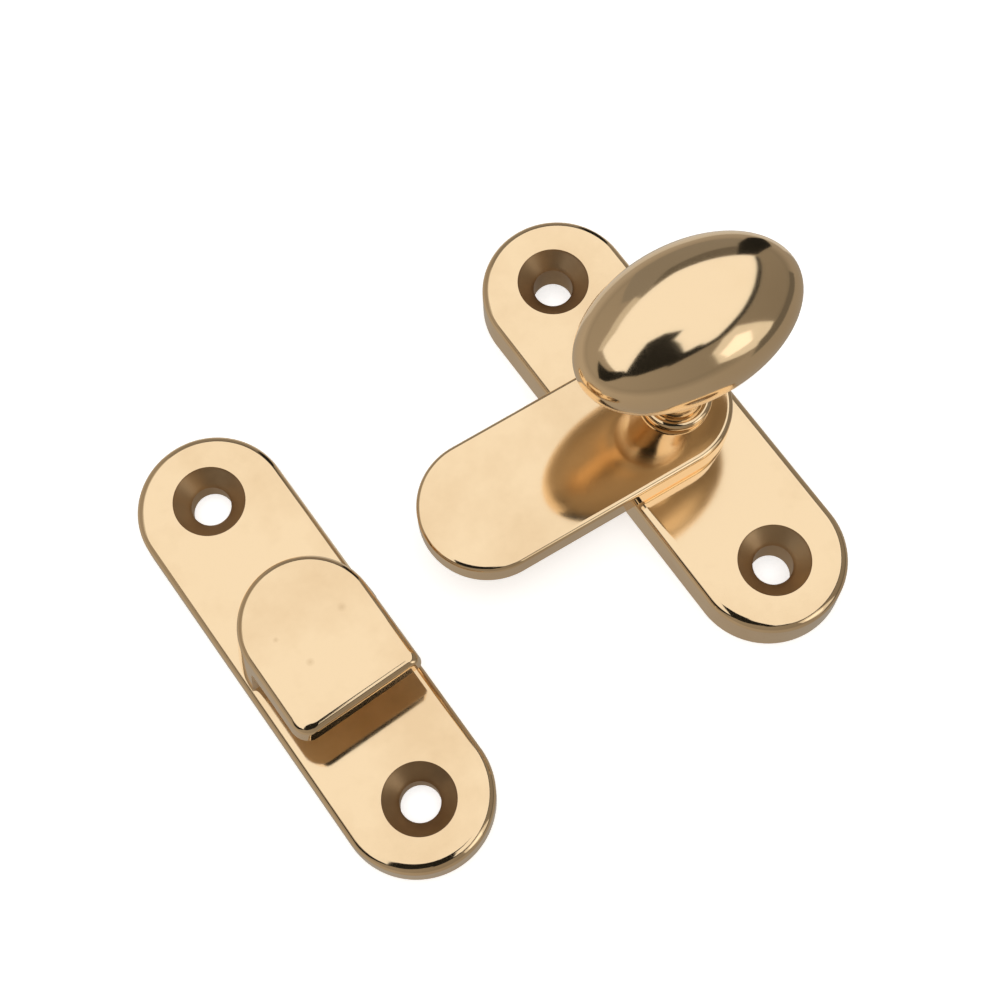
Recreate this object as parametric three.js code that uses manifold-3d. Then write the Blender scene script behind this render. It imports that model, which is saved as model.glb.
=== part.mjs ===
// Window sash lock in two loose pieces: the lock with its turning blade and oval knob, and the keep.
// Millimetres, +Z up. +Y runs along the plates, and the blade points to -X, toward the keep.
// The origin is under the middle of the whole set, on the face that both plates stand on.
import * as THREE from "three";
import { mergeVertices } from "three/addons/utils/BufferGeometryUtils.js";
import Module from "manifold-3d";

const wasm = await Module();
wasm.setup();

// Plates
const PLATE_LENGTH = 53;
const PLATE_WIDTH = 16;
const BASE_THICKNESS = 5.3;
const KEEP_THICKNESS = 3.9;
const PLATE_EDGE_ROUND = 1.1;

// Screw holes for No. 6 countersunk wood screws
const SCREW_SPACING = 38.4;
const SCREW_HOLE_DIAMETER = 4.2;
const COUNTERSINK_DIAMETER = 7.5;

// Where the pieces lie: the keep's middle from the base plate's middle, and the pivot from it
const KEEP_OFFSET_X = -43.3;
const KEEP_OFFSET_Y = 1.3;
const PIVOT_OFFSET_X = 1.3;
const PIVOT_OFFSET_Y = -0.3;
const BLADE_ANGLE = -4.7;

// Blade
const BLADE_LENGTH = 35.4;
const BLADE_WIDTH = 14.4;
const BLADE_BOTTOM = 5.6;
const BLADE_THICKNESS = 3.6;
const BLADE_EDGE_ROUND = 0.6;

// Knob and its neck: the long half-axis lies along the blade
const KNOB_HALF_LENGTH = 11.9;
const KNOB_HALF_WIDTH = 7.55;
const KNOB_HALF_HEIGHT = 7;
const KNOB_CENTRE = 28.6;
const NECK_PROFILE = [
  [0, 0], [2.5, 0], [2.8, 0.3], [2.85, 1], [2.9, 3], [3, 5], [3.2, 7], [3.5, 8.6], [3.9, 9.8],
  [4.3, 10.8], [4.5, 11.6], [4.5, 13.2], [0, 13.2],
];

// Collar between the blade and the neck
const COLLAR_DIAMETER = 7.5;
const COLLAR_THICKNESS = 1.3;

// Spindle: round in the plate, square in the blade, a stud in the neck, a riveted tail below
const JOURNAL_DIAMETER = 5;
const JOURNAL_CLEARANCE = 0.08;
const SQUARE_SIDE = 4.2;
const STUD_DIAMETER = 3.4;
const STUD_DEPTH = 7;
const RIVET_DIAMETER = 7.4;
const RIVET_THICKNESS = 0.8;
const RIVET_LIFT = 0.4;

// Recess under the base plate, with the spring washer and the rivet's backing washer in it
const RECESS_DIAMETER = 12.6;
const RECESS_DEPTH = 3.1;
const WASHER_DIAMETER = 9.6;
const WASHER_THICKNESS = 0.6;
const SPRING_DIAMETER = 11.4;
const SPRING_THICKNESS = 0.4;
const SPRING_DISH = 0.45;

// Hook block of the keep: a round end, flanks that taper upward and a slot under a thin lip
const HOOK_WIDTH = 15.8;
const HOOK_TAPER = 0.13;
const HOOK_OFFSET_X = 0.5;
const HOOK_APEX = 7.9;
const HOOK_LIP = -9.6;
const HOOK_TOP = 12.4;
const HOOK_EDGE_ROUND = 0.9;
const SLOT_CEILING = 9.6;
const SLOT_BACK = -1.2;
const SLOT_CORNER = 0.8;

const GAP = 0.3;
const CURVE_STEPS = 20;

function toSolid(geometry) {
  const bare = geometry.clone();
  bare.deleteAttribute("normal");
  bare.deleteAttribute("uv");
  const merged = mergeVertices(bare, 1e-5);
  return new wasm.Manifold(new wasm.Mesh({
    numProp: 3,
    vertProperties: new Float32Array(merged.attributes.position.array),
    triVerts: new Uint32Array(merged.index.array),
  }));
}

function toGeometry(solid) {
  const mesh = solid.getMesh();
  const geometry = new THREE.BufferGeometry();
  geometry.setAttribute("position", new THREE.BufferAttribute(mesh.vertProperties, 3));
  geometry.setIndex(new THREE.BufferAttribute(mesh.triVerts, 1));
  geometry.computeVertexNormals();
  return geometry;
}

function brass(colour, roughness) {
  return new THREE.MeshStandardMaterial({ color: colour, metalness: 1, roughness });
}

function piece(name, geometry, material) {
  const mesh = new THREE.Mesh(geometry, material);
  mesh.name = name;
  return mesh;
}

// A slot-shaped outline along Y, with its middle at the origin
function obround(length, width) {
  const radius = width / 2;
  const straight = length / 2 - radius;
  const shape = new THREE.Shape();
  shape.moveTo(radius, -straight);
  shape.lineTo(radius, straight);
  shape.absarc(0, straight, radius, 0, Math.PI, false);
  shape.lineTo(-radius, -straight);
  shape.absarc(0, -straight, radius, Math.PI, 2 * Math.PI, false);
  return shape;
}

// The hook block's outline: a round end toward +Y and a straight lip toward -Y
function hookOutline(width, apex, lip) {
  const radius = width / 2;
  const centre = apex - radius;
  const shape = new THREE.Shape();
  shape.moveTo(-radius, lip);
  shape.lineTo(radius, lip);
  shape.lineTo(radius, centre);
  shape.absarc(0, centre, radius, 0, Math.PI, false);
  shape.lineTo(-radius, lip);
  return shape;
}

// Draws the flanks in toward the top by a share of the width, about the middle of the round end
function taper(geometry, bottom, top, share, endCentre) {
  const at = geometry.attributes.position;
  for (let i = 0; i < at.count; i++) {
    const rise = Math.max(0, (at.getZ(i) - bottom) / (top - bottom));
    const scale = 1 - share * rise;
    const y = at.getY(i) - endCentre;
    at.setXY(i, at.getX(i) * scale, endCentre + (y > 0 ? y * scale : y));
  }
}

// An outline raised from bottom to top, with the edges at the chosen ends rounded inward
function raisedGeometry(shape, bottom, top, round, roundBottom) {
  const extra = roundBottom ? 0 : 2 * round;
  const geometry = new THREE.ExtrudeGeometry(shape, {
    depth: top - bottom - 2 * round + extra,
    bevelEnabled: true,
    bevelThickness: round,
    bevelSize: round,
    bevelOffset: -round,
    bevelSegments: 4,
    curveSegments: CURVE_STEPS,
  });
  geometry.translate(0, 0, bottom + round - extra);
  return geometry;
}

function cutBelow(solid, height) {
  const cutter = new THREE.BoxGeometry(100, 100, 10);
  cutter.translate(0, 0, height - 5);
  return solid.subtract(toSolid(cutter));
}

function raised(shape, bottom, top, round, roundBottom) {
  const solid = toSolid(raisedGeometry(shape, bottom, top, round, roundBottom));
  return roundBottom ? solid : cutBelow(solid, bottom);
}

// A turned solid about +Z from [radius, height] points that start and end on the axis
function turned(profile, steps) {
  const points = profile.map(([radius, height]) => new THREE.Vector2(radius, height));
  const geometry = new THREE.LatheGeometry(points, steps);
  geometry.rotateX(Math.PI / 2);
  return geometry;
}

function rod(diameter, bottom, top, steps = 48) {
  const radius = diameter / 2;
  return toSolid(turned([[0, bottom], [radius, bottom], [radius, top], [0, top]], steps));
}

function block(x0, x1, y0, y1, z0, z1) {
  const geometry = new THREE.BoxGeometry(x1 - x0, y1 - y0, z1 - z0);
  geometry.translate((x0 + x1) / 2, (y0 + y1) / 2, (z0 + z1) / 2);
  return toSolid(geometry);
}

// A through hole with a 90 degree countersink in the top face
function screwHole(y, thickness) {
  const hole = SCREW_HOLE_DIAMETER / 2;
  const sink = COUNTERSINK_DIAMETER / 2;
  const depth = sink - hole;
  const cutter = toSolid(turned([
    [0, -1], [hole, -1], [hole, thickness - depth], [sink, thickness], [sink + 1, thickness + 1], [0, thickness + 1],
  ], 48));
  return cutter.translate([0, y, 0]);
}

function drilledPlate(thickness) {
  let plate = raised(obround(PLATE_LENGTH, PLATE_WIDTH), 0, thickness, PLATE_EDGE_ROUND, false);
  for (const end of [-1, 1]) plate = plate.subtract(screwHole(end * SCREW_SPACING / 2, thickness));
  return plate;
}

function basePlate() {
  const bore = rod(JOURNAL_DIAMETER + 2 * JOURNAL_CLEARANCE, -1, BASE_THICKNESS + 1);
  const recess = rod(RECESS_DIAMETER, -1, RECESS_DEPTH);
  const cut = bore.add(recess).translate([PIVOT_OFFSET_X, PIVOT_OFFSET_Y, 0]);
  return toGeometry(drilledPlate(BASE_THICKNESS).subtract(cut));
}

// The tapered block, cut flush with the plate's sides
function hookBlock() {
  const outline = hookOutline(HOOK_WIDTH, HOOK_APEX, HOOK_LIP);
  const geometry = raisedGeometry(outline, KEEP_THICKNESS - 1, HOOK_TOP, HOOK_EDGE_ROUND, false);
  taper(geometry, KEEP_THICKNESS, HOOK_TOP, HOOK_TAPER, HOOK_APEX - HOOK_WIDTH / 2);
  geometry.translate(HOOK_OFFSET_X, 0, 0);
  const side = PLATE_WIDTH / 2;
  return cutBelow(toSolid(geometry), KEEP_THICKNESS - 1).intersect(block(-side, side, -20, 20, 0, 20));
}

function keep() {
  const side = PLATE_WIDTH / 2 + 1;
  const slot = block(-side, side, HOOK_LIP - 2, SLOT_BACK, KEEP_THICKNESS, SLOT_CEILING);
  const corner = toSolid(new THREE.CylinderGeometry(SLOT_CORNER, SLOT_CORNER, 2 * side, 24).rotateZ(Math.PI / 2));
  const deepSlot = slot
    .add(block(-side, side, SLOT_BACK - 1, SLOT_BACK + SLOT_CORNER, KEEP_THICKNESS, SLOT_CEILING - SLOT_CORNER))
    .add(corner.translate([0, SLOT_BACK, SLOT_CEILING - SLOT_CORNER]));
  return toGeometry(hookBlock().subtract(deepSlot).add(drilledPlate(KEEP_THICKNESS)));
}

// The blade's own frame has the pivot at its origin and its tip toward -X
function blade() {
  const top = BLADE_BOTTOM + BLADE_THICKNESS;
  const middle = -(PIVOT_OFFSET_X + (BLADE_LENGTH - BLADE_WIDTH) / 2);
  const body = raised(obround(BLADE_LENGTH, BLADE_WIDTH), BLADE_BOTTOM, top, BLADE_EDGE_ROUND, true)
    .rotate([0, 0, 90])
    .translate([middle, -PIVOT_OFFSET_Y, 0]);
  const half = SQUARE_SIDE / 2 + GAP / 2;
  return toGeometry(body.subtract(block(-half, half, -half, half, BLADE_BOTTOM - 1, top + 1)));
}

const COLLAR_BOTTOM = BLADE_BOTTOM + BLADE_THICKNESS + GAP / 2;
const NECK_BOTTOM = COLLAR_BOTTOM + COLLAR_THICKNESS + GAP / 2;

function collar() {
  const inner = STUD_DIAMETER / 2 + GAP;
  const outer = COLLAR_DIAMETER / 2;
  const round = COLLAR_THICKNESS / 2;
  const profile = [[inner, COLLAR_BOTTOM]];
  for (let i = 0; i <= 8; i++) {
    const angle = -Math.PI / 2 + Math.PI * i / 8;
    profile.push([outer - round + round * Math.cos(angle), COLLAR_BOTTOM + round + round * Math.sin(angle)]);
  }
  profile.push([inner, COLLAR_BOTTOM + COLLAR_THICKNESS], [inner, COLLAR_BOTTOM]);
  return turned(profile, 48);
}

function knob() {
  const oval = new THREE.SphereGeometry(1, 56, 30);
  oval.rotateX(Math.PI / 2);
  oval.scale(KNOB_HALF_LENGTH, KNOB_HALF_WIDTH, KNOB_HALF_HEIGHT);
  oval.translate(0, 0, KNOB_CENTRE);
  const neck = NECK_PROFILE.map(([radius, height]) => [radius, NECK_BOTTOM + height]);
  const stud = rod(STUD_DIAMETER + 2 * GAP, NECK_BOTTOM - 1, NECK_BOTTOM + STUD_DEPTH + GAP, 32);
  return toGeometry(toSolid(oval).add(toSolid(turned(neck, 48))).subtract(stud));
}

function spindle() {
  const bladeTop = BLADE_BOTTOM + BLADE_THICKNESS;
  const shoulder = BLADE_BOTTOM - GAP / 2;
  const half = SQUARE_SIDE / 2;
  const tail = RIVET_LIFT + RIVET_THICKNESS;
  const rivet = toSolid(turned([
    [0, RIVET_LIFT], [RIVET_DIAMETER / 2 - 0.6, RIVET_LIFT], [RIVET_DIAMETER / 2 - 0.2, RIVET_LIFT + 0.25],
    [RIVET_DIAMETER / 2, tail], [0, tail],
  ], 40));
  return toGeometry(rivet
    .add(rod(JOURNAL_DIAMETER, tail - 0.2, shoulder))
    .add(block(-half, half, -half, half, shoulder - 0.05, bladeTop))
    .add(rod(STUD_DIAMETER, bladeTop - 0.2, NECK_BOTTOM + STUD_DEPTH, 32)));
}

const WASHER_BOTTOM = RIVET_LIFT + RIVET_THICKNESS + 0.1;

function backingWasher() {
  const inner = JOURNAL_DIAMETER / 2 + 0.2;
  const outer = WASHER_DIAMETER / 2;
  const top = WASHER_BOTTOM + WASHER_THICKNESS;
  return turned([[inner, WASHER_BOTTOM], [outer, WASHER_BOTTOM], [outer, top], [inner, top], [inner, WASHER_BOTTOM]], 40);
}

// A dished washer: its inner edge sits on the backing washer and its outer edge presses up on the plate
function springWasher() {
  const inner = JOURNAL_DIAMETER / 2 + 0.3;
  const outer = SPRING_DIAMETER / 2;
  const low = WASHER_BOTTOM + WASHER_THICKNESS + 0.1;
  const high = low + SPRING_DISH;
  return turned([
    [inner, low], [outer, high], [outer, high + SPRING_THICKNESS], [inner, low + SPRING_THICKNESS], [inner, low],
  ], 40);
}

const lock = new THREE.Group();
lock.add(piece("base_plate", basePlate(), brass(0xe2bd84, 0.2)));

const turn = new THREE.Group();
turn.position.set(PIVOT_OFFSET_X, PIVOT_OFFSET_Y, 0);
turn.rotation.z = THREE.MathUtils.degToRad(BLADE_ANGLE);
turn.add(piece("latch_blade", blade(), brass(0xe8c68f, 0.18)));
turn.add(piece("neck_collar", collar(), brass(0xd9b479, 0.18)));
turn.add(piece("oval_knob", knob(), brass(0xd9bd88, 0.12)));
turn.add(piece("spindle", spindle(), brass(0xb08a55, 0.35)));
turn.add(piece("backing_washer", backingWasher(), brass(0xb08a55, 0.4)));
lock.add(turn);

const spring = piece("spring_washer", springWasher(), brass(0xa98347, 0.45));
spring.position.set(PIVOT_OFFSET_X, PIVOT_OFFSET_Y, 0);
lock.add(spring);

const keepPiece = piece("keep", keep(), brass(0xe2bd84, 0.2));
keepPiece.position.set(KEEP_OFFSET_X, KEEP_OFFSET_Y, 0);
lock.add(keepPiece);

// Move the set so that the origin is under the middle of its bounding box
const group = new THREE.Group();
group.add(lock);
const box = new THREE.Box3().setFromObject(group, true);
const middle = box.getCenter(new THREE.Vector3());
lock.position.set(-middle.x, -middle.y, -box.min.z);

export default group;
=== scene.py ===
# The look of the window sash lock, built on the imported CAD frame: metres, +Z up, +Y along the plates.
import math

import bpy
import bmesh
from mathutils import Matrix, Vector


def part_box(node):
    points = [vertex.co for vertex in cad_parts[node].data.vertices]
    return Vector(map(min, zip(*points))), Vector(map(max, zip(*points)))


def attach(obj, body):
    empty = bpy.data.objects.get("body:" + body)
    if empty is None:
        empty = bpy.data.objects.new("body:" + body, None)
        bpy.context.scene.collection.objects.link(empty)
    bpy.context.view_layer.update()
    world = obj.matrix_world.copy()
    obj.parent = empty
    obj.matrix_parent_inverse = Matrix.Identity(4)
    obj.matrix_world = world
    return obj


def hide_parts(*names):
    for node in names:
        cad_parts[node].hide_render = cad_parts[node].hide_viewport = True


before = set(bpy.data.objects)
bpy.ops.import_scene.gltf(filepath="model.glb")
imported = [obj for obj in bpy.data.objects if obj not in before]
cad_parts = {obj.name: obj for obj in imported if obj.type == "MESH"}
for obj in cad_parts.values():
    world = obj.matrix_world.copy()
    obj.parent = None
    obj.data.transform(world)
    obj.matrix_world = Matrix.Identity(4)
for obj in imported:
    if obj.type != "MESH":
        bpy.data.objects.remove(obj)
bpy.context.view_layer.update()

MM = 0.001

# Sizes that the CAD solids have, in millimetres
PLATE_LENGTH = 53.0
PLATE_WIDTH = 16.0
PLATE_EDGE_ROUND = 1.1
SCREW_SPACING = 38.4
SCREW_HOLE_RADIUS = 2.1
COUNTERSINK_RADIUS = 3.75
BLADE_LENGTH = 35.4
BLADE_WIDTH = 14.4
BLADE_EDGE_ROUND = 0.6
BLADE_ANGLE = math.radians(-4.7)
PIVOT_FROM_BASE = (1.3, -0.3)
KNOB_HALF_SIZES = (11.9, 7.55, 7.0)
KNOB_CENTRE = 28.6
NECK_BOTTOM = 10.8
NECK_PROFILE = (
    (2.5, 0.0), (2.8, 0.3), (2.85, 1.0), (2.9, 3.0), (3.0, 5.0), (3.2, 7.0), (3.5, 8.6), (3.8, 9.8),
    (4.0, 10.8), (4.0, 13.2),
)
COLLAR_RADIUS = 3.75
RECESS_RADIUS = 6.3
RECESS_DEPTH = 3.1
BORE_RADIUS = 2.58
KEEP_TOP = 3.9
HOOK_WIDTH = 15.8
HOOK_TAPER = 0.13
HOOK_OFFSET_X = 0.5
HOOK_APEX = 7.9
HOOK_LIP = -9.6
HOOK_EDGE_ROUND = 0.9
SLOT_CEILING = 9.6
SLOT_BACK = -1.2
SLOT_CORNER = 0.8
SQUARE_HALF = 2.25
COLLAR_BORE = 2.0

# Small edges that only the visual meshes have, in millimetres
FOOT_BREAK = 0.2
HOLE_BREAK = 0.1
SLOT_BREAK = 0.2
LIP_CORNERS = (2.0, 0.9)

# Marks in the finish: spots where the colour is darkened over small pits, as x, y and radius from the keep's
# middle, and the knob's duller underside as height and added roughness
# Only colour: each spot darkens the base colour over a small pit in the hook's top
HOOK_DARK_SPOTS = ((4.1, -0.8, 0.55), (-1.5, -3.6, 0.5), (-3.0, 0.2, 0.35))
KNOB_BLUR = ((18.0, 0.0), (20.5, 0.25), (27.0, 0.25), (29.0, 0.0))

# How finely curves are divided
ARC_STEPS = 96
ROUND_STEPS = 12
HOLE_STEPS = 64
KNOB_STEPS = 160
KNOB_RINGS = 120
NECK_RINGS = 60
CORNER_STEPS = 16
CREASE_DEGREES = 35
LEVEL = 0.99999


def node_box(name):
    """A CAD node's lowest and highest corners at rest, in millimetres."""
    low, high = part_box(name)
    return [v / MM for v in low], [v / MM for v in high]


def middle(name):
    low, high = node_box(name)
    return [(a + b) / 2 for a, b in zip(low, high)]


BASE = middle("base_plate")
KEEP = middle("keep")
BASE_TOP = node_box("base_plate")[1][2]
HOOK_TOP = node_box("keep")[1][2]
BLADE_BOTTOM, BLADE_TOP = node_box("latch_blade")[0][2], node_box("latch_blade")[1][2]
COLLAR_BOTTOM, COLLAR_TOP = node_box("neck_collar")[0][2], node_box("neck_collar")[1][2]
PIVOT = (BASE[0] + PIVOT_FROM_BASE[0], BASE[1] + PIVOT_FROM_BASE[1])


# ---------- outlines, as lists of (x, y) running counterclockwise ----------

def arc(centre, radius, start, end, steps):
    points = []
    for i in range(steps + 1):
        angle = start + (end - start) * i / steps
        points.append((centre[0] + radius * math.cos(angle), centre[1] + radius * math.sin(angle)))
    return points


def obround(length, width, inset):
    """A slot shape along Y, drawn in by inset."""
    straight = (length - width) / 2
    radius = width / 2 - inset
    far_end = arc((0, straight), radius, 0, math.pi, ARC_STEPS)
    near_end = arc((0, -straight), radius, math.pi, 2 * math.pi, ARC_STEPS)
    return far_end + near_end


def circle(centre, radius, steps):
    angles = [2 * math.pi * i / steps for i in range(steps)]
    return [(centre[0] + radius * math.cos(angle), centre[1] + radius * math.sin(angle)) for angle in angles]


def at_height(outline, z):
    return [(x, y, z) for x, y in outline]


def rounded_edge(z_flat, round_size, upward):
    """(inset, z) pairs round a quarter circle, from the side wall to the flat face."""
    pairs = []
    for i in range(ROUND_STEPS + 1):
        angle = math.pi / 2 * i / ROUND_STEPS
        drop = round_size * (1 - math.sin(angle))
        pairs.append((round_size * (1 - math.cos(angle)), z_flat - drop if upward else z_flat + drop))
    return pairs


# ---------- mesh building ----------

def add_rings(mesh, rings, inward=False):
    """Joins each ring of points to the next with quads, and returns the first and last ring's vertices."""
    loops = [[mesh.verts.new([c * MM for c in point]) for point in ring] for ring in rings]
    for lower, upper in zip(loops, loops[1:]):
        count = len(lower)
        for i in range(count):
            j = (i + 1) % count
            quad = [lower[i], lower[j], upper[j], upper[i]]
            mesh.faces.new(quad[::-1] if inward else quad)
    return loops[0], loops[-1]


def loop_edges(mesh, loop):
    edges = []
    for i, vertex in enumerate(loop):
        other = loop[(i + 1) % len(loop)]
        edges.append(mesh.edges.get((vertex, other)) or mesh.edges.new((vertex, other)))
    return edges


def fill(mesh, loops, normal):
    """Fills the flat region between an outer loop and the holes in it."""
    edges = [edge for loop in loops for edge in loop_edges(mesh, loop)]
    made = bmesh.ops.triangle_fill(mesh, use_beauty=True, use_dissolve=False, edges=edges, normal=normal)
    for face in made["geom"]:
        if isinstance(face, bmesh.types.BMFace):
            face.normal_update()
            if face.normal.dot(Vector(normal)) < 0:
                face.normal_flip()


def finish_object(name, mesh, materials, sharp_degrees=CREASE_DEGREES):
    data = bpy.data.meshes.new(name)
    mesh.normal_update()
    mesh.to_mesh(data)
    mesh.free()
    for material in materials:
        data.materials.append(material)
    piece = bpy.data.objects.new(name, data)
    bpy.context.scene.collection.objects.link(piece)
    shade(piece, sharp_degrees)
    return piece


def shade(piece, sharp_degrees):
    """Smooth shading with crisp edges, in which level faces stay optically flat."""
    data = piece.data
    data.shade_smooth()
    mesh = bmesh.new()
    mesh.from_mesh(data)
    mesh.normal_update()
    crease = math.cos(math.radians(sharp_degrees))
    normals = []
    for face in mesh.faces:
        for corner in face.loops:
            near = [other for other in corner.vert.link_faces if other.normal.dot(face.normal) > crease]
            level = [other for other in near if abs(other.normal.z) > LEVEL]
            if abs(face.normal.z) > LEVEL:
                normals.append(face.normal.copy())
            elif level:
                normals.append(level[0].normal.copy())
            else:
                total = sum((other.normal * other.calc_area() for other in near), Vector())
                normals.append(total.normalized() if total.length > 0 else face.normal.copy())
    mesh.free()
    data.normals_split_custom_set(normals)


def apply_modifiers(piece):
    graph = bpy.context.evaluated_depsgraph_get()
    done = bpy.data.meshes.new_from_object(piece.evaluated_get(graph))
    piece.modifiers.clear()
    piece.data = done


def drilled_solid(name, outer_rings, holes, materials):
    """A solid between the first (bottom) and last (top) outer ring, with through holes.

    Each hole is a list of rings from the bottom face to the top face, and takes the second material.
    """
    mesh = bmesh.new()
    bottom, top = add_rings(mesh, outer_rings)
    bottoms, tops = [bottom], [top]
    before = len(mesh.faces)
    for rings in holes:
        low, high = add_rings(mesh, rings, inward=True)
        bottoms.append(low)
        tops.append(high)
    mesh.faces.ensure_lookup_table()
    for index in range(before, len(mesh.faces)):
        mesh.faces[index].material_index = 1
    fill(mesh, tops, (0, 0, 1))
    fill(mesh, bottoms, (0, 0, -1))
    return finish_object(name, mesh, materials)


def moved(rings, dx, dy, angle=0.0):
    turn = Matrix.Rotation(angle, 3, "Z")
    shift = Vector((dx, dy, 0))
    return [[tuple(turn @ Vector(point) + shift) for point in ring] for ring in rings]


def screw_hole(y, thickness):
    """A plain hole that opens into a 90 degree countersink with a just-broken edge."""
    depth = COUNTERSINK_RADIUS - SCREW_HOLE_RADIUS
    edge = HOLE_BREAK
    levels = [
        (SCREW_HOLE_RADIUS + edge, 0),
        (SCREW_HOLE_RADIUS, edge),
        (SCREW_HOLE_RADIUS, thickness - depth - edge / 2),
    ]
    cone_steps = 10
    for i in range(1, cone_steps + 1):
        part = i / cone_steps
        levels.append((SCREW_HOLE_RADIUS + depth * part, thickness - depth * (1 - part) - edge * part))
    edge_steps = 4
    for i in range(1, edge_steps + 1):
        part = i / edge_steps
        growth = 1 - math.cos(math.pi / 4 * part) + 0.35 * part
        levels.append((COUNTERSINK_RADIUS + edge * growth, thickness - edge * (1 - part) ** 1.5))
    return [at_height(circle((0, y), radius, HOLE_STEPS), z) for radius, z in levels]


def plate_rings(thickness):
    edge = [(FOOT_BREAK, 0), (0.0, FOOT_BREAK)] + rounded_edge(thickness, PLATE_EDGE_ROUND, True)
    return [at_height(obround(PLATE_LENGTH, PLATE_WIDTH, inset), z) for inset, z in edge]


def screw_holes(thickness):
    return [screw_hole(side * SCREW_SPACING / 2, thickness) for side in (-1, 1)]


# ---------- materials ----------

def node(tree, kind, inputs=None, **settings):
    made = tree.nodes.new(kind)
    for key, value in settings.items():
        setattr(made, key, value)
    for key, value in (inputs or {}).items():
        socket = made.inputs[key]
        if isinstance(value, bpy.types.NodeSocket):
            tree.links.new(value, socket)
        else:
            socket.default_value = value
    return made


def ramp(tree, factor, stops):
    made = node(tree, "ShaderNodeValToRGB", {"Fac": factor})
    elements = made.color_ramp.elements
    while len(elements) < len(stops):
        elements.new(0.5)
    for element, (place, colour) in zip(elements, stops):
        element.position = place
        element.color = (*colour, 1)
    return made.outputs["Color"]


def scaled(tree, value, low, high):
    """Maps 0..1 to low..high."""
    return node(tree, "ShaderNodeMapRange", {"Value": value, "To Min": low, "To Max": high}).outputs["Result"]


def noise(tree, position, scale, detail=3.0, roughness=0.5):
    inputs = {"Vector": position, "Scale": scale, "Detail": detail, "Roughness": roughness}
    return node(tree, "ShaderNodeTexNoise", inputs).outputs["Fac"]


def stretched(tree, position, scale, angle):
    made = node(tree, "ShaderNodeMapping", {"Vector": position, "Scale": scale, "Rotation": (0, 0, angle)})
    return made.outputs["Vector"]


def math_node(tree, operation, a, b):
    return node(tree, "ShaderNodeMath", {0: a, 1: b}, operation=operation).outputs[0]


def vector_value(tree, operation, a, b):
    """A plain value made from two vectors."""
    return node(tree, "ShaderNodeVectorMath", {0: a, 1: b}, operation=operation).outputs["Value"]


def bump(tree, height, distance, below=None):
    """A bumped normal, laid over the one below it."""
    inputs = {"Height": height, "Distance": distance, "Strength": 1.0}
    if below:
        inputs["Normal"] = below
    return node(tree, "ShaderNodeBump", inputs).outputs["Normal"]


def hand_polished_face(tree, position, centre, lean, crown):
    """Height of a face that polishing has left leaning a little and crowned across its width."""
    offset = (-centre[0] * MM, -centre[1] * MM, 0)
    mapping = node(tree, "ShaderNodeMapping", {"Vector": position, "Location": offset}, vector_type="POINT")
    local = mapping.outputs["Vector"]
    across = node(tree, "ShaderNodeSeparateXYZ", {"Vector": local}).outputs["Y"]
    slope = vector_value(tree, "DOT_PRODUCT", local, (lean[0], lean[1], 0))
    square = math_node(tree, "POWER", across, 2.0)
    fall = math_node(tree, "MULTIPLY", square, crown / MM / 2)
    return math_node(tree, "SUBTRACT", slope, fall)


def by_height(tree, position, stops):
    """A value that follows the height, from (height in mm, value) pairs."""
    low, high = stops[0][0], stops[-1][0]
    height = node(tree, "ShaderNodeSeparateXYZ", {"Vector": position}).outputs["Z"]
    place = node(tree, "ShaderNodeMapRange", {"Value": height, "From Min": low * MM, "From Max": high * MM})
    pairs = [((z - low) / (high - low), (value, value, value)) for z, value in stops]
    return ramp(tree, place.outputs["Result"], pairs)


def darkened_in_spots(tree, position, colour, spots):
    """The colour darkened faintly at the spots, each an x, y, z and radius in mm."""
    # Each spot mixes the colour toward a darker brown, most at its middle
    for x, y, z, radius in spots:
        away = vector_value(tree, "DISTANCE", position, (x * MM, y * MM, z * MM))
        limits = {"Value": away, "From Min": radius * MM, "From Max": 0.0, "To Max": DARK_SPOT_STRENGTH}
        darkening = node(tree, "ShaderNodeMapRange", limits).outputs["Result"]
        inputs = {"Factor": darkening, "A": colour, "B": (*DARK_SPOT_COLOUR, 1)}
        colour = node(tree, "ShaderNodeMix", inputs, data_type="RGBA").outputs["Result"]
    return colour


def brass(name, bright, dull, rough, scratch_depth, wave_depth, spots=(), face=None, blur=None):
    """Polished brass: clouded colour, uneven polish, fine scratches and slow waves.

    spots are where the colour is darkened, face is a centre, lean and crown, and blur is roughness added by
    height.
    """
    material = bpy.data.materials.new(name)
    material.use_nodes = True
    tree = material.node_tree
    shader = tree.nodes["Principled BSDF"]
    shader.inputs["Metallic"].default_value = 1.0
    position = node(tree, "ShaderNodeTexCoord").outputs["Object"]

    cloud = noise(tree, position, CLOUD_SCALE, 5, 0.6)
    colour = ramp(tree, cloud, ((0.34, dull), (0.56, bright)))
    tree.links.new(darkened_in_spots(tree, position, colour, spots), shader.inputs["Base Color"])

    polish = scaled(tree, noise(tree, position, SMEAR_SCALE, 5, 0.6), *rough)
    if blur:
        polish = math_node(tree, "ADD", polish, by_height(tree, position, blur))
    tree.links.new(polish, shader.inputs["Roughness"])

    normal = bump(tree, noise(tree, position, WAVE_SCALE, 1), wave_depth)
    fine = noise(tree, stretched(tree, position, SCRATCHES_ALONG, 0.5), 1, 2)
    cross = noise(tree, stretched(tree, position, SCRATCHES_ACROSS, -0.35), 1, 2)
    normal = bump(tree, math_node(tree, "ADD", fine, cross), scratch_depth, normal)
    if face:
        normal = bump(tree, hand_polished_face(tree, position, *face), 1.0, normal)
    tree.links.new(normal, shader.inputs["Normal"])
    return material


# How many features of each kind there are to a metre
CLOUD_SCALE, SMEAR_SCALE, WAVE_SCALE = 70, 420, 160
SCRATCHES_ALONG, SCRATCHES_ACROSS = (9000, 500, 2500), (700, 8000, 2500)

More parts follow.
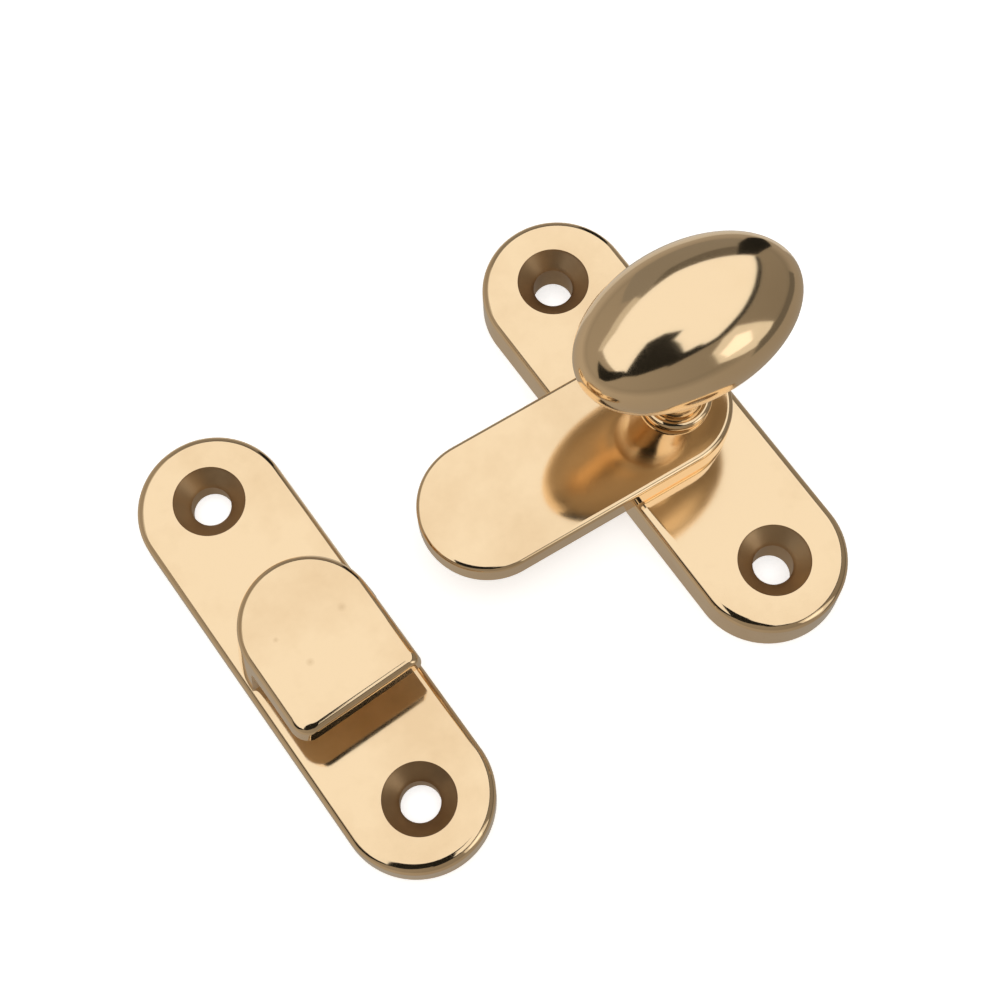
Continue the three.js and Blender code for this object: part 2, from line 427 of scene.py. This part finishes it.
BRIGHT, CLOUDED, KNOB_CLOUDED = (0.945, 0.72, 0.46), (0.86, 0.63, 0.385), (0.91, 0.68, 0.42)
# The dark spots' colour, and how far it replaces the base colour at a spot's middle
DARK_SPOT_COLOUR, DARK_SPOT_STRENGTH = (0.62, 0.44, 0.25), 0.5
DARK_SPOTS = [(KEEP[0] + x, KEEP[1] + y, HOOK_TOP, radius) for x, y, radius in HOOK_DARK_SPOTS]
BLADE_MIDDLE = (PIVOT[0] - 11.7, PIVOT[1] + 1.3)
BASE_FACE = (BASE, (-0.0706, 0.0343), 0.0)
BLADE_FACE = (BLADE_MIDDLE, (-0.040, 0.064), 0.004)

POLISHED = brass("polished_brass", BRIGHT, CLOUDED, (0.05, 0.11), 1.2e-7, 3e-6, spots=DARK_SPOTS)
BASE_BRASS = brass("base_brass", BRIGHT, CLOUDED, (0.05, 0.11), 1.2e-7, 3e-6, face=BASE_FACE)
BLADE_BRASS = brass("blade_brass", BRIGHT, CLOUDED, (0.05, 0.1), 1.2e-7, 3e-6, face=BLADE_FACE)
KNOB_BRASS = brass("knob_brass", BRIGHT, KNOB_CLOUDED, (0.08, 0.14), 1.0e-7, 2e-6, blur=KNOB_BLUR)
CAST = brass("cast_brass", (0.92, 0.80, 0.64), (0.76, 0.65, 0.5), (0.6, 0.75), 2e-6, 1e-5)
SUNK = brass("countersink_brass", (0.50, 0.34, 0.19), (0.36, 0.235, 0.13), (0.32, 0.5), 5e-7, 4e-6)
TURNED = brass("turned_brass", (0.66, 0.47, 0.26), (0.52, 0.35, 0.18), (0.2, 0.34), 6e-7, 4e-6)
BRONZE = brass("spring_bronze", (0.55, 0.36, 0.18), (0.44, 0.28, 0.13), (0.25, 0.4), 6e-7, 4e-6)


# ---------- pieces ----------

def make_base():
    recess = [(RECESS_RADIUS, 0), (RECESS_RADIUS, RECESS_DEPTH)]
    levels = recess + [(BORE_RADIUS, RECESS_DEPTH), (BORE_RADIUS, BASE_TOP)]
    bore = [at_height(circle(PIVOT_FROM_BASE, radius, HOLE_STEPS), z) for radius, z in levels]
    holes = [moved(hole, *BASE[:2]) for hole in screw_holes(BASE_TOP) + [bore]]
    outside = moved(plate_rings(BASE_TOP), *BASE[:2])
    piece = drilled_solid("base_plate_body", outside, holes, [BASE_BRASS, SUNK])
    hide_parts("base_plate")
    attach(piece, "base")


def make_blade():
    centre = -(PIVOT_FROM_BASE[0] + (BLADE_LENGTH - BLADE_WIDTH) / 2)
    edges = rounded_edge(BLADE_BOTTOM, BLADE_EDGE_ROUND, False)[::-1]
    edges += rounded_edge(BLADE_TOP, BLADE_EDGE_ROUND, True)
    rings = [at_height(obround(BLADE_LENGTH, BLADE_WIDTH, inset), z) for inset, z in edges]
    rings = moved(rings, centre, -PIVOT_FROM_BASE[1], math.pi / 2)
    square = [(x * SQUARE_HALF, y * SQUARE_HALF) for x, y in ((1, 1), (-1, 1), (-1, -1), (1, -1))]
    hole = [at_height(square, BLADE_BOTTOM), at_height(square, BLADE_TOP)]
    outside, inside = [moved(each, *PIVOT, BLADE_ANGLE) for each in (rings, hole)]
    piece = drilled_solid("latch_blade_body", outside, [inside], [BLADE_BRASS, TURNED])
    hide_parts("latch_blade")
    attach(piece, "turn")


def make_collar():
    """A turned ring with a half-round outside."""
    half = (COLLAR_TOP - COLLAR_BOTTOM) / 2
    profile = [(COLLAR_BORE, COLLAR_BOTTOM)]
    for i in range(CORNER_STEPS + 1):
        angle = -math.pi / 2 + math.pi * i / CORNER_STEPS
        radius = COLLAR_RADIUS - half + half * math.cos(angle)
        profile.append((radius, COLLAR_BOTTOM + half + half * math.sin(angle)))
    profile.append((COLLAR_BORE, COLLAR_TOP))
    mesh = bmesh.new()
    rings = [at_height(circle(PIVOT, radius, ARC_STEPS), z) for radius, z in profile]
    add_rings(mesh, rings + [rings[0]])
    bmesh.ops.remove_doubles(mesh, verts=mesh.verts, dist=1e-8)
    bmesh.ops.recalc_face_normals(mesh, faces=mesh.faces)
    piece = finish_object("neck_collar_ring", mesh, [POLISHED])
    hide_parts("neck_collar")
    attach(piece, "turn")


def smooth_max(a, b, blend):
    """The greater of two values, eased where they are within blend of each other."""
    h = max(0.0, min(1.0, 0.5 + 0.5 * (a - b) / blend))
    return b + (a - b) * h + blend * h * (1 - h)


def neck_radius(height):
    """The neck's radius at a height above its foot, eased between the profile's points."""
    points = NECK_PROFILE
    if height <= points[0][1]:
        return points[0][0]
    for index in range(len(points) - 1):
        (r0, h0), (r1, h1) = points[index], points[index + 1]
        if height <= h1:
            before = points[max(index - 1, 0)]
            after = points[min(index + 2, len(points) - 1)]
            m0 = (r1 - before[0]) / max(h1 - before[1], 1e-6)
            m1 = (after[0] - r0) / max(after[1] - h0, 1e-6)
            span = h1 - h0
            t = (height - h0) / span
            return ((2 * t**3 - 3 * t**2 + 1) * r0 + (t**3 - 2 * t**2 + t) * m0 * span
                    + (3 * t**2 - 2 * t**3) * r1 + (t**3 - t**2) * m1 * span)
    return points[-1][0]


def knob_levels():
    """The heights of the knob's rings, close together at the neck's foot and evenly round the oval."""
    c = KNOB_HALF_SIZES[2]
    foot = 0.3
    start = NECK_BOTTOM + foot
    length = KNOB_CENTRE - c - start - 0.05
    levels = [NECK_BOTTOM + foot * i / 6 for i in range(6)]
    levels += [start + length * i / NECK_RINGS for i in range(NECK_RINGS + 1)]
    levels += [KNOB_CENTRE - c * math.cos(math.pi * i / KNOB_RINGS) for i in range(1, KNOB_RINGS)]
    return sorted(levels)


def knob_ring(z):
    """The knob's outline at one height: the greater of the oval's and the neck's radius, blended."""
    a, b, c = KNOB_HALF_SIZES
    neck_top = NECK_BOTTOM + NECK_PROFILE[-1][1]
    height = (z - KNOB_CENTRE) / c
    spread = math.sqrt(max(0.0, 1 - height * height)) if abs(height) < 1 else 0.0
    fade = min(1.0, max(0.0, (neck_top + 2.0 - z) / 4.0))
    neck = neck_radius(z - NECK_BOTTOM) * fade
    blend = 2.0 * fade + 0.001
    ring = []
    for i in range(KNOB_STEPS):
        angle = 2 * math.pi * i / KNOB_STEPS
        oval = spread / math.hypot(math.cos(angle) / a, math.sin(angle) / b)
        radius = smooth_max(oval, neck, blend * min(1.0, spread * 4)) if spread > 0 else neck
        ring.append((radius * math.cos(angle), radius * math.sin(angle), z))
    return ring


def make_knob():
    """The oval and its flared neck as one skin of level rings, closed by a point on top."""
    rings = [knob_ring(z) for z in knob_levels()]
    mesh = bmesh.new()
    low, high = add_rings(mesh, moved(rings, *PIVOT, BLADE_ANGLE))
    fill(mesh, [low], (0, 0, -1))
    pole = mesh.verts.new((PIVOT[0] * MM, PIVOT[1] * MM, (KNOB_CENTRE + KNOB_HALF_SIZES[2]) * MM))
    for i in range(KNOB_STEPS):
        mesh.faces.new((high[i], high[(i + 1) % KNOB_STEPS], pole))
    piece = finish_object("oval_knob_body", mesh, [KNOB_BRASS], 60)
    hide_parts("oval_knob")
    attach(piece, "turn")


def hook_outline(inset, scale):
    """The hook block's outline: a round end toward +Y and a straight lip with eased corners."""
    radius = HOOK_WIDTH / 2 - inset
    centre = HOOK_APEX - HOOK_WIDTH / 2
    left, right = LIP_CORNERS
    points = arc((0, centre), radius, 0, math.pi, ARC_STEPS)
    lip = HOOK_LIP + inset
    points += arc((-radius + left, lip + left), left, math.pi, 1.5 * math.pi, CORNER_STEPS)
    points += arc((radius - right, lip + right), right, 1.5 * math.pi, 2 * math.pi, CORNER_STEPS)
    side = PLATE_WIDTH / 2
    out = []
    for x, y in points:
        x = x * scale + HOOK_OFFSET_X
        y = centre + (y - centre) * (scale if y > centre else 1)
        out.append((max(-side, min(side, x)), y))
    return out


def hook_scale(z):
    """How much narrower the tapered block is at a height than at its foot."""
    return 1 - HOOK_TAPER * max(0.0, (z - KEEP_TOP) / (HOOK_TOP - KEEP_TOP))


def hook_block():
    """The block without its slot, from 1 mm below the plate's top."""
    rings = [at_height(hook_outline(0, 1), KEEP_TOP - 1)]
    wall_top = HOOK_TOP - HOOK_EDGE_ROUND
    for i in range(ROUND_STEPS + 1):
        z = KEEP_TOP + (wall_top - KEEP_TOP) * i / ROUND_STEPS
        rings.append(at_height(hook_outline(0, hook_scale(z)), z))
    for inset, z in rounded_edge(HOOK_TOP, HOOK_EDGE_ROUND, True)[1:]:
        rings.append(at_height(hook_outline(inset, hook_scale(z)), z))
    return drilled_solid("keep_body", moved(rings, *KEEP[:2]), [], [POLISHED, SUNK, CAST])


def slot_cutter():
    """The slot's section along the block, swept across it."""
    floor, front, reach = KEEP_TOP - 2, HOOK_LIP - 3, 12
    corner = arc((SLOT_BACK, SLOT_CEILING - SLOT_CORNER), SLOT_CORNER, 0, math.pi / 2, CORNER_STEPS)
    section = [(front, floor), (SLOT_BACK + SLOT_CORNER, floor)] + corner + [(front, SLOT_CEILING)]
    mesh = bmesh.new()
    ends = [[(KEEP[0] + x, KEEP[1] + y, z) for y, z in section] for x in (-reach, reach)]
    first, last = add_rings(mesh, ends)
    fill(mesh, [first], (-1, 0, 0))
    fill(mesh, [last], (1, 0, 0))
    bmesh.ops.recalc_face_normals(mesh, faces=mesh.faces)
    return finish_object("slot_cutter", mesh, [POLISHED])


def combine(piece, other, operation):
    """Joins other to piece, or cuts it out, and removes other."""
    step = piece.modifiers.new("combine", "BOOLEAN")
    step.operation, step.solver, step.object = operation, "EXACT", other
    apply_modifiers(piece)
    bpy.data.objects.remove(other)


def mark_slot(piece):
    """Gives the slot's ceiling and back wall the unpolished cast finish."""
    margin = 0.1
    front = KEEP[1] + HOOK_LIP + 0.3
    back = KEEP[1] + SLOT_BACK + SLOT_CORNER + margin
    for face in piece.data.polygons:
        _, y, z = face.center / MM
        within = front < y < back and KEEP_TOP + margin / 2 < z < SLOT_CEILING + margin
        faces_slot = face.normal.z < -0.5 or face.normal.y < -0.7
        if within and faces_slot and abs(face.normal.x) < 0.5:
            face.material_index = 2


def make_keep():
    body = hook_block()
    combine(body, slot_cutter(), "DIFFERENCE")
    soften = body.modifiers.new("broken_edges", "BEVEL")
    soften.limit_method, soften.angle_limit = "ANGLE", math.radians(60)
    soften.width, soften.segments = SLOT_BREAK * MM, 4
    apply_modifiers(body)
    holes = [moved(hole, *KEEP[:2]) for hole in screw_holes(KEEP_TOP)]
    plate = drilled_solid("keep_plate", moved(plate_rings(KEEP_TOP), *KEEP[:2]), holes, [POLISHED, SUNK])
    combine(body, plate, "UNION")
    mark_slot(body)
    shade(body, CREASE_DEGREES)
    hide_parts("keep")
    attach(body, "keep")


def dress_cad_nodes():
    for name, material in (("spindle", TURNED), ("backing_washer", TURNED), ("spring_washer", BRONZE)):
        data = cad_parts[name].data
        data.materials.clear()
        data.materials.append(material)


make_base()
make_blade()
make_collar()
make_knob()
make_keep()
dress_cad_nodes()


# ---------- stage, light and camera ----------

CAMERA_AT = Vector((-36.5, -55.9, 206.2)) * MM
CAMERA_X = Vector((0.81387, -0.58074, -0.01863))
CAMERA_Y = Vector((0.55485, 0.76728, 0.32160))
CAMERA_Z = Vector((-0.17247, -0.27208, 0.94669))
LENS = 74.1
AWAY = Vector((0.5354, 0.8446, 0))
RIGHT = Vector((0.8446, -0.5354, 0))
AIM = Vector((1.1, 3.3, 10)) * MM


def make_camera():
    data = bpy.data.cameras.new("camera")
    data.lens, data.sensor_width = LENS, 36
    data.clip_start, data.clip_end = 0.01, 20
    camera = bpy.data.objects.new("camera", data)
    turn = Matrix((CAMERA_X, CAMERA_Y, CAMERA_Z)).transposed().to_4x4()
    camera.matrix_world = Matrix.Translation(CAMERA_AT) @ turn
    bpy.context.scene.collection.objects.link(camera)
    bpy.context.scene.camera = camera


def glow(name, colour, strength):
    material = bpy.data.materials.new(name)
    material.use_nodes = True
    tree = material.node_tree
    tree.nodes.clear()
    emission = node(tree, "ShaderNodeEmission", {"Color": (*colour, 1), "Strength": strength})
    output = node(tree, "ShaderNodeOutputMaterial")
    tree.links.new(emission.outputs[0], output.inputs["Surface"])
    return material


def direction(right, away):
    """The direction whose angle from straight up is the length of (right, away), in degrees."""
    angle = math.radians(math.hypot(right, away))
    flat = (RIGHT * right + AWAY * away).normalized() if angle else Vector()
    return flat * math.sin(angle) + Vector((0, 0, math.cos(angle)))


def pale_finish(name, strength):
    """A matt white with a glow of its own, for the floor and the wall round it."""
    material = bpy.data.materials.new(name)
    material.use_nodes = True
    shader = material.node_tree.nodes["Principled BSDF"]
    shader.inputs["Base Color"].default_value = (0.92, 0.92, 0.92, 1)
    shader.inputs["Roughness"].default_value = 0.9
    shader.inputs["Specular IOR Level"].default_value = 0.0
    shader.inputs["Emission Color"].default_value = (1, 1, 1, 1)
    shader.inputs["Emission Strength"].default_value = strength
    return material


def stage_piece(name, mesh, material):
    data = bpy.data.meshes.new(name)
    mesh.to_mesh(data)
    mesh.free()
    data.materials.append(material)
    piece = bpy.data.objects.new(name, data)
    bpy.context.scene.collection.objects.link(piece)
    return piece


def make_floor():
    mesh = bmesh.new()
    bmesh.ops.create_grid(mesh, x_segments=1, y_segments=1, size=3)
    floor = stage_piece("floor", mesh, pale_finish("pale_floor", 0.6))
    floor.visible_glossy = False


def make_backdrop():
    """A pale wall all round, so that a low view has no horizon; only the camera sees it."""
    mesh = bmesh.new()
    radius, foot, top = 2.9, -0.01, 4.0
    outline = circle((0, 0), radius, ARC_STEPS)
    low, high = [[mesh.verts.new(point) for point in at_height(outline, z)] for z in (foot, top)]
    for i in range(ARC_STEPS):
        j = (i + 1) % ARC_STEPS
        mesh.faces.new((low[i], high[i], high[j], low[j]))
    wall = stage_piece("backdrop", mesh, pale_finish("pale_wall", 1.0))
    wall.visible_glossy = wall.visible_diffuse = wall.visible_shadow = False


def make_world():
    """A warm grey room: dimmest at eye level, lighter below and above, and lighter on one side."""
    world = bpy.data.worlds.new("studio")
    bpy.context.scene.world = world
    world.use_nodes = True
    tree = world.node_tree
    background = tree.nodes["Background"]
    background.inputs["Strength"].default_value = 1.0
    heading = node(tree, "ShaderNodeTexCoord").outputs["Generated"]
    height = node(tree, "ShaderNodeSeparateXYZ", {"Vector": heading}).outputs["Z"]
    level = scaled(tree, math_node(tree, "ADD", height, 1.0), 0, 0.5)
    shades = ((0.0, 0.35), (0.34, 0.37), (0.46, 0.26), (0.56, 0.32), (1.0, 0.38))
    warm = (1.0, 0.90, 0.76)
    stops = [(place, tuple(value * part for part in warm)) for place, value in shades]
    across = vector_value(tree, "DOT_PRODUCT", heading, tuple(RIGHT))
    limits = {"Value": across, "From Min": -1.0, "To Min": 1.22, "To Max": 0.82}
    side = node(tree, "ShaderNodeMapRange", limits).outputs["Result"]
    inputs = {0: ramp(tree, level, stops), "Scale": side}
    lit = node(tree, "ShaderNodeVectorMath", inputs, operation="SCALE").outputs["Vector"]
    tree.links.new(lit, background.inputs["Color"])


def make_light():
    data = bpy.data.lights.new("overhead", "AREA")
    data.shape, data.size = "DISK", 1.6
    data.energy = 9
    light = bpy.data.objects.new("overhead", data)
    light.location = (0, 0, 1.3)
    light.visible_glossy = False
    bpy.context.scene.collection.objects.link(light)


def place_card(name, corners, material):
    """A card with its corners at the given points; only reflections see it."""
    mesh = bmesh.new()
    mesh.faces.new([mesh.verts.new(corner) for corner in corners])
    bmesh.ops.triangulate(mesh, faces=mesh.faces)
    piece = stage_piece(name, mesh, material)
    piece.visible_camera = piece.visible_diffuse = piece.visible_shadow = False


def make_cards():
    """What the polished brass mirrors: each card has a distance, a glow and its corners' directions."""
    pale = glow("card_pale", (1.0, 1.0, 0.985), 1.0)
    strong = glow("card_strong", (1.0, 0.985, 0.96), 1.3)
    soft = glow("card_soft", (1.0, 0.97, 0.90), 0.8)
    half = glow("card_half", (1.0, 0.95, 0.86), 0.6)
    black = glow("card_black", (0.05, 0.05, 0.045), 0.3)
    brown = glow("card_brown", (0.95, 0.87, 0.76), 0.15)
    dusk = glow("card_dusk", (0.97, 0.9, 0.8), 0.26)
    cards = (
        ("overhead_card", 0.9, pale, (
            (-46, 15), (-28, 42), (-9, 57), (18, 60), (42, 57), (48, 27), (47, -12), (38, -34), (20, -46),
            (0, -54), (-38, -55), (-54, -30), (-62, -2))),
        ("right_rail", 0.85, black, (
            (42, 56), (46, 55), (53, 25), (52, -12), (42, -36), (22, -50), (8, -58), (8, -32), (18, -33),
            (31, -39), (38, -34), (47, -12), (48, 27))),
        ("side_softbox", 0.9, soft, (
            (50, -26), (70, -25), (90, -24), (93, -46), (78, -59), (56, -67), (42, -52), (44, -37))),
        ("side_softbox_core", 0.7, strong, ((54, -36), (66, -33), (76, -44), (60, -60), (50, -54))),
        ("overhead_edge", 0.9, half, ((-28, 42), (-46, 15), (-62, -2), (-69, 2), (-53, 22), (-33, 49))),
        ("left_stand", 0.8, black, (
            (-70, -14), (-63, -30), (-55, -41), (-34, -49), (-30, -58), (-50, -61), (-64, -60), (-76, -48))),
        ("far_stand", 0.8, black, ((28, 60), (44, 59), (58, 85), (50, 106), (36, 100), (28, 82))),
        ("far_wall", 0.8, brown, ((-22, 52), (-9, 57), (18, 60), (30, 61), (30, 76), (8, 74), (-14, 66))),
        ("far_wall_glow", 0.97, dusk, (
            (-44, 52), (-28, 42), (-9, 55), (18, 58), (36, 59), (36, 92), (-34, 92))),
        ("right_streak", 0.8, brown, (
            (84, 44), (94, 48), (106, 0), (103, -42), (94, -60), (87, -46), (93, -22), (93, 5))),
        ("low_glow", 0.8, half, ((-70, 96), (0, 112), (74, 92), (88, 110), (0, 138), (-84, 116))),
    )
    for name, distance, material, corners in cards:
        place_card(name, [AIM + direction(*corner) * distance for corner in corners], material)
    around_camera = (
        (-24, 32), (18, 24), (48, -5), (22, -22), (24, -60), (8, -190), (-150, -190), (-260, -200),
        (-374, -151), (-133, -25), (-70, 10))
    corners = [CAMERA_AT + Vector((x, y, 0)) * MM for x, y in around_camera]
    place_card("camera_dark", corners, black)


make_camera()
make_floor()
make_backdrop()
make_world()
make_light()
make_cards()
bpy.context.scene.view_settings.view_transform = "Standard"
